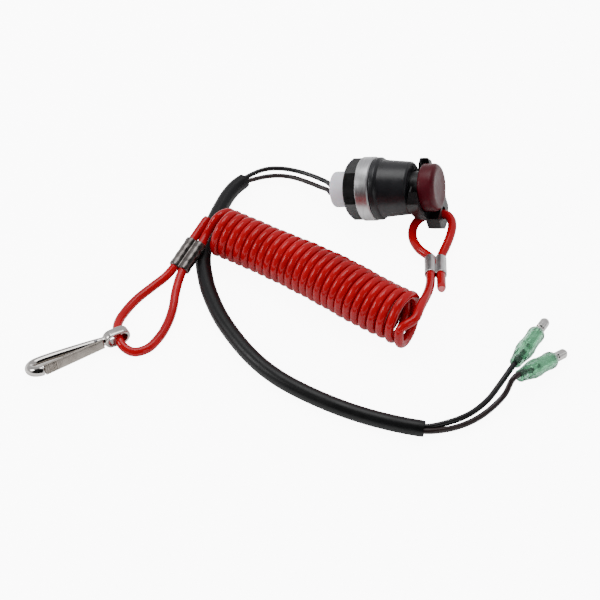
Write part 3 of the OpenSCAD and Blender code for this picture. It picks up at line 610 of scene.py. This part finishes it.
castNickel = newFinish("zinc die casting, nickel plated", {
    "patch": 6, "colours": [(0.25, "#c4c0bb"), (0.75, "#dedad6")], "rough": (0.08, 0.16),
    "grain": 4, "depth": 0.02, "shader": {"Metallic": 1.0},
})
gateNickel = newFinish("steel strip, pressed and nickel plated", {
    "patch": 5, "colours": [(0.25, "#948c84"), (0.75, "#b6aea6")], "rough": (0.2, 0.34),
    "grain": 0.6, "depth": 0.02, "stretch": (1, 1, 1), "shader": {"Metallic": 1.0},
})
hook = {
    "place": [-85.5, -102, 3.75], "heading": 225.5, "tip": 23, "length": 39,
    "eyeLength": 11, "eyeHeight": 7.2, "eyeWidth": 3.7, "eyeWall": 1.5,
    "noseRod": 2.1, "neckRod": 1.8, "noseRadius": 4.2, "pin": (8.9, 1.1),
    "gateTip": 4.4, "gatePin": 3.8, "gateThick": 1.6,
}
hookPose = poseOf(hook["place"], hook["heading"], 0, hook["tip"])
eyePose = poseOf(hook["place"], hook["heading"], 0)


def rodRings(h):
    # a line from the eye to the nose's arc; the rod's radius grows towards the nose and its end is round
    noseX = h["length"] - h["noseRod"] - h["noseRadius"]
    a = np.radians(np.linspace(-90, 88, 15))
    nose = np.stack([noseX + h["noseRadius"] * np.cos(a), h["noseRadius"] * np.sin(a), 0 * a], axis=1)
    spine = np.array([[4.9, 0, 0], [8.5, -1, 0], [14, -2, 0], [20.3, -2.9, 0], [26.5, -3.8, 0]])
    line = smoothLine(np.concatenate([spine, nose]), 0.35)
    run = runOf(line)
    grow = np.clip(run / run[-1] / 0.55, 0, 1)
    radius = h["neckRod"] + (h["noseRod"] - h["neckRod"]) * grow ** 2 * (3 - 2 * grow)
    toEnd = np.clip((run[-1] - run) / 0.5, 0, 1)
    radius = radius * (0.86 + 0.14 * np.sqrt(1 - (1 - toEnd) ** 2))
    return tubeRings(line, radius, 32)


def eyeRings(h):
    # a rounded-square section carried round an oval whose ends are half circles
    straight = (h["eyeLength"] - h["eyeHeight"]) / 2
    middle = h["eyeHeight"] / 2 - h["eyeWall"] / 2
    a = np.linspace(0, 2 * np.pi, 96, endpoint=False)
    normal = np.stack([np.cos(a), 0 * a, np.sin(a)], axis=1)
    line = normal * middle + np.stack([straight * np.clip(np.cos(a) * 3, -1, 1), 0 * a, 0 * a], axis=1)
    b = np.linspace(0, 2 * np.pi, 28, endpoint=False)
    p = 2 / 5.0  # superellipse of power 5
    across = np.sign(np.cos(b)) * np.abs(np.cos(b)) ** p * h["eyeWall"] / 2
    wide = np.sign(np.sin(b)) * np.abs(np.sin(b)) ** p * h["eyeWidth"] / 2
    return (line[:, None, :] + across[None, :, None] * normal[:, None, :]
            + wide[None, :, None] * np.array([0, 1.0, 0]))


def roundedBlock(low, high, power):
    # a block whose sections are superellipses and whose ends roll in
    low, high = np.array(low, dtype=float), np.array(high, dtype=float)
    t = np.linspace(-1, 1, 15)
    shrink = (1 - np.abs(t) ** (power * 2)) ** (1 / power)
    a = np.linspace(0, 2 * np.pi, 32, endpoint=False)
    p = 2 / power
    y = np.sign(np.cos(a)) * np.abs(np.cos(a)) ** p
    z = np.sign(np.sin(a)) * np.abs(np.sin(a)) ** p
    mid, reach = (low + high) / 2, (high - low) / 2
    return np.stack([mid[0] + reach[0] * t[:, None] + 0 * a[None, :],
                     mid[1] + reach[1] * shrink[:, None] * y[None, :],
                     mid[2] + reach[2] * shrink[:, None] * z[None, :]], axis=-1)


rod = gridSurface("rod", placed(rodRings(hook), hookPose), [castNickel], caps=True, sharp=60)
eye = gridSurface("eye", placed(eyeRings(hook), eyePose), [castNickel], closeRows=True, sharp=70)
lug = gridSurface("lug", placed(roundedBlock((6.5, -1.5, -0.85), (10.1, 2.1, 0.85), 4.0), hookPose), [castNickel],
                  sharp=60)
hookFrame = joinPieces("hookFrame", [rod, eye, lug])
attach(hookFrame, "switch")
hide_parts("hook_frame")


def gateRings(h):
    # a strip from the pin to the tip: section a rounded rectangle, wider at the tip;
    # the outer face carries thumb ribs between two bevel lines, h = depth (1 + cos) / 2
    run = 32.3 - h["pin"][0]
    x = np.linspace(-2.7, run + 0.6, 210)
    wide = h["gatePin"] / 2 + (h["gateTip"] - h["gatePin"]) / 2 * np.clip(x / run, 0, 1)
    roll = np.sqrt(np.clip(1 - np.clip((-1.9 - x) / 0.8, 0, 1) ** 2, 0.02, 1))
    tipRoll = np.sqrt(np.clip(1 - np.clip((x - run - 0.25) / 0.36, 0, 1) ** 2, 0.2, 1))
    a = np.linspace(0, 2 * np.pi, 40, endpoint=False)
    p = 2 / 6.0
    side = np.sign(np.cos(a)) * np.abs(np.cos(a)) ** p
    up = np.sign(np.sin(a)) * np.abs(np.sin(a)) ** p
    lower = np.where(x < 2.2, 1.0, 0.62)  # the ears reach lower beside the pin
    lift = np.where(up[None, :] > 0, h["gateThick"] / 2, h["gateThick"] / 2 * lower[:, None])
    ribZone = np.clip((x - (run - 5.0)) / 0.3, 0, 1) * np.clip((run - 1.0 - x) / 0.3, 0, 1)
    ribs = 0.26 * ribZone * (0.5 - 0.5 * np.cos(2 * np.pi * (x - run) / 0.62))
    grooves = 0.3 * (np.exp(-((x - (run - 5.6)) / 0.3) ** 2) + np.exp(-((x - (run - 0.6)) / 0.25) ** 2))
    y = 0.9 + up[None, :] * lift * (roll * tipRoll)[:, None]
    y = y - np.where(up[None, :] > 0.9, (ribs + grooves)[:, None], 0)
    z = side[None, :] * (wide * tipRoll)[:, None]
    return np.stack([x[:, None] + 0 * a[None, :], y, z], axis=-1)


lean = math.atan((hook["noseRadius"] + 0.2 - hook["pin"][1] - 0.9) / (32.3 - hook["pin"][0]))
gatePoints = gateRings(hook)
leanTurn = np.array([[math.cos(lean), -math.sin(lean), 0], [math.sin(lean), math.cos(lean), 0], [0, 0, 1]])
gatePoints = gatePoints @ leanTurn.T + np.array([hook["pin"][0], hook["pin"][1], 0])
hookGate = gridSurface("hookGate", placed(gatePoints, hookPose), [gateNickel], caps=True, sharp=35)
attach(hookGate, "gate")
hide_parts("hook_gate")
print("snap hook made")


# terminals: tinned brass bullets with a rolled seam, in soft translucent insulators

tinned = newFinish("brass bullet, rolled and tin plated", {
    "patch": 2.5, "colours": [(0.25, "#d6d4d0"), (0.75, "#f4f3f0")], "rough": (0.14, 0.28),
    "grain": 0.4, "depth": 0.015, "shader": {"Metallic": 1.0},
})
clearGreen = newFinish("soft PVC insulator, moulded translucent green", {
    "patch": 5, "colours": [(0.3, "#aef0cc"), (0.7, "#c6fbdd")], "rough": (0.06, 0.13),
    "grain": 3, "depth": 0.01, "bumpStrength": 0.05,
    "shader": {"IOR": 1.3, "Transmission Weight": 0.95},
})
terminalProfile = [
    (1.3, 7.2), (1.75, 7.2, 0.2), (1.75, 9), (1.2, 9.4), (1.2, 10), (2.35, 10, 0.1), (2.35, 11, 0.1), (1.85, 11),
    (1.85, 21.2, 0.1), (1.55, 21.5, 0.1), (1.55, 22, 0.1), (2.0, 22.4, 0.15), (2.0, 26.6, 1.2), (1.1, 27.8, 0.8),
    (0.0, 28), (0.0, 8.6), (1.3, 8.6),
]
insulatorProfile = [
    (2.2, 0, 0.2), (2.5, 0.6, 0.2), (2.5, 1.6, 0.3), (2.9, 4, 1.5), (3.55, 7, 1.0), (3.75, 8, 0.6), (3.75, 10.5, 0.6),
    (3.45, 12, 0.8), (3.35, 14, 1.5), (3.35, 16.6, 0.25), (3.55, 17.2, 0.25), (3.5, 19, 0.4), (3.05, 20, 0.3),
    (2.05, 20, 0.2), (2.05, 11.2), (2.4, 11.1), (2.4, 2.9), (1.15, 2.8), (1.15, 0),
]


def seamDip(a, x, r):
    # the rolled seam along the bullet's underside, a narrow groove
    off = np.angle(np.exp(1j * (a - 2.2)))
    return 0.22 * np.exp(-(off / 0.08) ** 2) * (x > 20.5) * (x < 27.5) * (r > 1)


for name, terminalPose in (("black", wiring["blackTerminal"]), ("brown", wiring["brownTerminal"])):
    pose = poseOf(*terminalPose)
    bullet = gridSurface("bullet_" + name, placed(turnedPoints(terminalProfile, 96, seamDip), pose), [tinned],
                         closeRows=True, sharp=35)
    cover = gridSurface("cover_" + name, placed(turnedPoints(insulatorProfile, 72), pose), [clearGreen],
                        closeRows=True, sharp=50)
    for piece, node, slot in ((bullet, "terminal_" + name, "terminal_tin"), (cover, "insulator_" + name, "insulator_pvc")):
        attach(piece, "switch")
        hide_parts(node)
print("terminals made")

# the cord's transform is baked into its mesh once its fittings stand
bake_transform(lanyardCord)


# switch: glass-filled nylon parts moulded black, a turned ring, an ABS plug and button

glossNylon = newFinish("glass-filled nylon, moulded glossy charcoal", {
    "patch": 8, "colours": [(0.3, "#101013"), (0.7, "#1a1a1e")], "rough": (0.28, 0.38),
    "grain": 2.2, "depth": 0.012, "shader": {"IOR": 1.53},
})
blackNylon = newFinish("nylon, moulded black", {
    "patch": 6, "colours": [(0.3, "#050506"), (0.7, "#0b0b0d")], "rough": (0.24, 0.36),
    "grain": 0.6, "depth": 0.03, "shader": {"IOR": 1.53},
})
satinNylon = newFinish("nylon, moulded satin black", {
    "patch": 7, "colours": [(0.3, "#0a0a0b"), (0.7, "#131315")], "rough": (0.3, 0.42),
    "grain": 0.5, "depth": 0.04, "shader": {"IOR": 1.53},
})
turnedAluminium = newFinish("aluminium ring, turned and brushed", {
    "patch": 7, "colours": [(0.25, "#c2c2c4"), (0.75, "#dededf")], "rough": (0.3, 0.42),
    "grain": 2.5, "depth": 0.02, "bumpStrength": 0.3, "turn": (0, math.radians(15.3), 0), "stretch": (9, 1, 1),
    "shader": {"Metallic": 1.0},
})
whiteAbs = newFinish("ABS plug, moulded off-white", {
    "patch": 6, "colours": [(0.3, "#cfcdd6"), (0.7, "#dedce4")], "rough": (0.3, 0.44),
    "grain": 0.6, "depth": 0.03, "shader": {"IOR": 1.54, "Subsurface Weight": 0.15,
                                           "Subsurface Scale": 0.001},
})
wineAbs = newFinish("ABS button, moulded wine red", {
    "patch": 7, "colours": [(0.3, "#3d000d"), (0.7, "#4c0212")], "rough": (0.3, 0.42),
    "grain": 2, "depth": 0.012, "shader": {"IOR": 1.54, "Specular IOR Level": 0.26},
})

switch = {
    "ring": [(8.1, 0), (13.0, 0, 0.1), (13.5, 0.5, 0.15), (13.5, 5.3, 0.15), (13.0, 5.8, 0.1), (8.1, 5.8)],
    "housing": [
        (8.08, 5.8), (12.75, 5.8, 0.3), (13.2, 6.5, 0.6), (13.2, 8.0, 0.8), (12.6, 8.9, 0.35), (12.15, 8.95, 0.5),
        (10.95, 22.0, 1.6), (7.08, 22.0, 0.15), (7.08, 20.2), (8.6, 20.2), (8.6, 18.6), (7.08, 18.6),
        (7.08, 17.1), (8.08, 17.1),
    ],
    "plug": [
        (0.0, -13.4), (7.6, -13.4, 1.2), (7.6, -6.1, 0.15), (6.5, -6.1), (6.5, -4.8), (0.0, -4.8),
    ],
    "button": [
        (4.05, 26.2), (9.2, 26.2), (10.0, 26.9, 0.55), (10.0, 33.2, 2.2), (7.35, 33.2, 0.25),
        (5.5, 32.91), (3.6, 32.82), (1.8, 32.73), (0.0, 32.7), (0.0, 29.9), (4.05, 29.9),
    ],
}
for name, node, mat, slot, body, steps in (
    ("panelRing", "panel_ring", turnedAluminium, "ring_metal", "switch", 160),
    ("housingShell", "front_housing", glossNylon, "housing_plastic", "switch", 160),
    ("plugBody", "rear_plug", whiteAbs, "plug_plastic", "switch", 128),
    ("buttonCap", "button_cap", wineAbs, "button_plastic", "button", 128),
):
    key = {"panelRing": "ring", "housingShell": "housing", "plugBody": "plug", "buttonCap": "button"}[name]
    piece = gridSurface(name, placed(turnedPoints(switch[key], steps), switchPose), [mat], closeRows=True, sharp=28)
    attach(piece, body)
    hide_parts(node)

nut = nodeCopy("nutBody", "mounting_nut", [blackNylon], 0.3)
clip = nodeCopy("clipBody", "lanyard_clip", [satinNylon], 0.3)
for piece, node, slot, body in ((nut, "mounting_nut", "nut_plastic", "switch"), (clip, "lanyard_clip", "clip_plastic", "clip")):
    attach(piece, body)
    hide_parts(node)

# the return spring, with closed end turns
springSteel = newFinish("spring steel, drawn", {
    "patch": 3, "colours": [(0.25, "#8f9094"), (0.75, "#b3b4b8")], "rough": (0.22, 0.38),
    "grain": 0.3, "depth": 0.01, "shader": {"Metallic": 1.0},
})
spring = {"near": 3.46, "far": 10.54, "radius": 5.3, "wire": 0.8, "turns": 5, "press": 1.5}
turn = np.linspace(0, spring["turns"], spring["turns"] * 40 + 1)
rise = np.cumsum(0.9 + 0.86 * np.clip(np.minimum(turn, spring["turns"] - turn) - 0.5, 0, 1))
rise = spring["near"] + (spring["far"] - spring["near"]) * (rise - rise[0]) / (rise[-1] - rise[0])
springLine = np.stack([rise, spring["radius"] * np.cos(2 * np.pi * turn), spring["radius"] * np.sin(2 * np.pi * turn)],
                      axis=1)
returnSpring = gridSurface("returnSpring", placed(tubeRings(springLine, spring["wire"] / 2, 12), switchPose),
                           [springSteel], caps=True, sharp=50)
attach(returnSpring, "switch")
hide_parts("return_spring")
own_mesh(returnSpring)
print("switch made")


# CAD nodes that stay: their own material in place of the plain one

brass = newFinish("brass, turned", {
    "patch": 3, "colours": [(0.25, "#b8913c"), (0.75, "#d6b25c")], "rough": (0.2, 0.36),
    "grain": 0.4, "depth": 0.02, "shader": {"Metallic": 1.0},
})
blackRubber = newFinish("nitrile rubber, moulded", {
    "patch": 4, "colours": [(0.3, "#101012"), (0.7, "#1a1a1c")], "rough": (0.55, 0.7),
    "grain": 0.3, "depth": 0.03, "shader": {"IOR": 1.52},
})
kept = {
    "barrel": blackNylon, "plunger": satinNylon, "contact_black": brass, "contact_brown": brass,
    "contact_disc": brass, "retaining_ring": springSteel,
    "plunger_seal": blackRubber, "gate_pin": springSteel, "gate_spring": springSteel,
}
for node, mat in kept.items():
    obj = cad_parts[node]
    for slot in obj.material_slots:
        slot.link = "OBJECT"
        slot.material = mat
print("materials set")


# plain pale table

floorMesh = bpy.data.meshes.new("table")
w = 1.6
floorMesh.from_pydata([(-w, -w, 0), (w, -w, 0), (w, w, 0), (-w, w, 0)], [], [(0, 1, 2, 3)])
floor = bpy.data.objects.new("table", floorMesh)
floor.location.z = -0.0002
bpy.context.scene.collection.objects.link(floor)
tableWhite = newFinish("plain white table", {
    "patch": 300, "colours": [(0.3, "#f6f6f6"), (0.7, "#fafafa")], "rough": (0.7, 0.8),
    "grain": 20, "depth": 0.01,
})
rays = addNode(tableWhite.node_tree, "ShaderNodeLightPath")
glow = addNode(tableWhite.node_tree, "ShaderNodeMath", {"operation": "MULTIPLY", 1: 9.0}, {0: rays.outputs["Is Camera Ray"]})
tableWhite.node_tree.links.new(glow.outputs["Value"], tableWhite.node_tree.nodes["Principled BSDF"].inputs["Emission Strength"])
tableWhite.node_tree.nodes["Principled BSDF"].inputs["Emission Color"].default_value = (1, 1, 1, 1)
floorMesh.materials.append(tableWhite)
